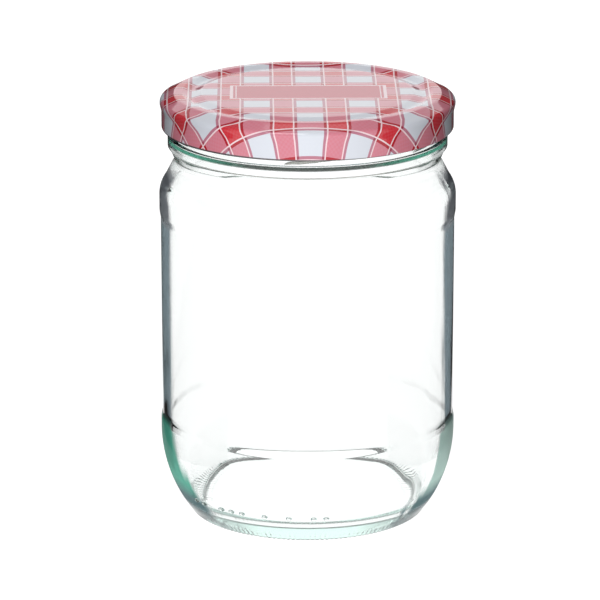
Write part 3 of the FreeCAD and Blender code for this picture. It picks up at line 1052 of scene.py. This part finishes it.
@dataclass
class Studio:
    """A white table in soft light, with the room darker to both sides. Sizes are in metres."""

    height: float  # of the whole object
    table_half: float = 4.0
    table_glow: float = 1.0
    table_white: str = "#8c8c8c"
    light: str = "#ffffff"
    behind: float = 1.25  # brightness of the white wall behind
    sides: float = 0.7
    front: float = 0.45
    overhead: float = 0.30
    turn_over: float = 0.2  # how far past due east or west the front gives way to the back
    sides_fade: Span = (0.28, 0.55)
    front_wider: float = 0.22  # how much farther out the sides start in front
    overhead_fade: Span = (0.45, 0.75)
    card_out: float = 0.075
    card_span: Span = (-0.06, 0.45)
    card_height: float = 0.17
    felt: tuple[str, str] = ("#484848", "#565656")
    felt_grain: float = 400.0  # spots across a card
    boxes: tuple[SoftBox, ...] = (SoftBox("overhead_soft_box", (0.0, 0.3, 1.3), 0.5, 1.0),
                                  SoftBox("front_soft_box", (-0.3, -0.85, 1.05), 0.6, 6.5))
    camera_back: float = 1.192
    camera_up: float = 0.410
    aim_share: float = 0.496  # of the object's height
    lens: float = 254.98
    sensor: float = 36.0
    clip: Span = (0.05, 20.0)
    shift: Span = (-0.01267, 0.00182)
    bounces: int = 32
    glossy_bounces: int = 12

    def sheet(self, name: str, corners: Sequence[tuple[float, float, float]],
              material: bpy.types.Material) -> bpy.types.Object:
        """Make a flat sheet.

        Args:
            name: the sheet's name.
            corners: its four corners in order.
            material: what it is made of.

        Returns:
            The sheet.
        """
        mesh = bpy.data.meshes.new(name)
        mesh.from_pydata(corners, [], [(0, 1, 2, 3)])
        mesh.materials.append(material)
        return add_object(name, mesh)

    def table(self) -> None:
        """Lay the table: matt white, lit enough to lose its edge."""
        material, tree = new_material("matt_white_laminate")
        surface = add_node(tree, "BsdfPrincipled", {
            "Base Color": self.table_white, "Roughness": 0.9, "Emission Color": self.light,
            "Emission Strength": self.table_glow})
        add_node(tree, "OutputMaterial", {"Surface": surface})
        half = self.table_half
        corners = [(-half, -half, 0), (half, -half, 0), (half, half, 0), (-half, half, 0)]
        table = self.sheet("table", corners, material)

    def card(self, name: str, side: int) -> None:
        """Stand a card of dark grey felt beside the object, seen only where the object reflects it.

        Args:
            name: the card's name.
            side: -1 for the left and 1 for the right.
        """
        material, tree = new_material(f"{name}_felt")
        fuzz = add_node(tree, "TexNoise", {"Scale": self.felt_grain})
        dark, pale = self.felt
        colour = add_node(tree, "MixRGB", {"Fac": fuzz, "Color1": dark, "Color2": pale})
        surface = add_node(tree, "BsdfPrincipled", {
            "Base Color": colour, "Roughness": 1.0, "Specular IOR Level": 0.1})
        add_node(tree, "OutputMaterial", {"Surface": surface})
        out, near, far, tall = side * self.card_out, *self.card_span, self.card_height
        corners = [(out, near, 0), (out, far, 0), (out, far, tall), (out, near, tall)]
        card = self.sheet(name, corners, material)
        card.visible_camera = False
        card.visible_transmission = False

    def room(self) -> None:
        """Light the room: white behind, dim to both sides, soft in front and overhead."""
        world = bpy.data.worlds.new("room")
        bpy.context.scene.world = world
        world.use_nodes = True
        tree = world.node_tree
        tree.nodes.clear()
        way = add_node(tree, "TexCoord", out="Generated")
        east = add_node(tree, "SeparateXYZ", {0: way}, out="X")
        north, up = east.node.outputs["Y"], east.node.outputs["Z"]
        sideways = add_node(tree, "Math", {0: east}, operation="ABSOLUTE")
        turn = {"Value": north, "From Min": -self.turn_over, "From Max": self.turn_over}
        wall = add_node(tree, "MapRange", {**turn, "To Min": self.front, "To Max": self.behind})
        narrower = add_node(tree, "MapRange", {**turn, "To Min": -self.front_wider, "To Max": 0.0})
        outward = add_node(tree, "Math", {0: sideways, 1: narrower}, operation="ADD")
        (start, end), (rise, top) = self.sides_fade, self.overhead_fade
        level = add_node(tree, "MapRange", {"Value": outward, "From Min": start, "From Max": end})
        low = add_node(tree, "Mix", {"Factor": level, "A": wall, "B": self.sides})
        high = add_node(tree, "MapRange", {"Value": up, "From Min": rise, "From Max": top})
        light = add_node(tree, "Mix", {"Factor": high, "A": low, "B": self.overhead})
        surface = add_node(tree, "Background", {"Color": self.light, "Strength": light})
        add_node(tree, "OutputWorld", {"Surface": surface})

    def camera(self) -> None:
        """Set up a long lens in front of the jar that looks down on it a little."""
        data = bpy.data.cameras.new("camera")
        data.lens, data.sensor_width = self.lens, self.sensor
        data.shift_x, data.shift_y = self.shift
        data.clip_start, data.clip_end = self.clip
        camera = add_object("camera", data)
        camera.location = (0.0, -self.camera_back, self.camera_up)
        aim = Vector((0, 0, self.height * self.aim_share))
        camera.rotation_euler = (aim - camera.location).to_track_quat("-Z", "Y").to_euler()
        bpy.context.scene.camera = camera

    def build(self) -> None:
        """Set up table, light and camera."""
        self.camera()
        self.table()
        self.room()
        for name, side in (("left_card", -1), ("right_card", 1)):
            self.card(name, side)
        for box in self.boxes:
            box.hang(Vector((0, 0, self.height)))
        scene = bpy.context.scene
        scene.view_settings.view_transform = "Standard"
        scene.view_settings.look = "None"
        scene.cycles.max_bounces = self.bounces
        scene.cycles.transmission_bounces = self.bounces
        scene.cycles.glossy_bounces = self.glossy_bounces
        LOG.info("studio: table, room, %d soft boxes and camera", len(self.boxes))


def main() -> None:
    """Build the studio and the jar's pieces."""
    logging.basicConfig(level=logging.INFO, format="%(name)s: %(message)s")
    jar_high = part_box("jar")[1]
    lid_low, lid_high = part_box("lid")
    Studio(height=lid_high[2]).build()
    GlassJar(height=jar_high[2] / MM, body=jar_high[0] / MM - INSIDE_CAD).build()
    TwistOffLid(top=lid_high[2] / MM, edge=lid_low[2] / MM, widest=lid_high[0] / MM).build()


if __name__ == "__main__":
    main()
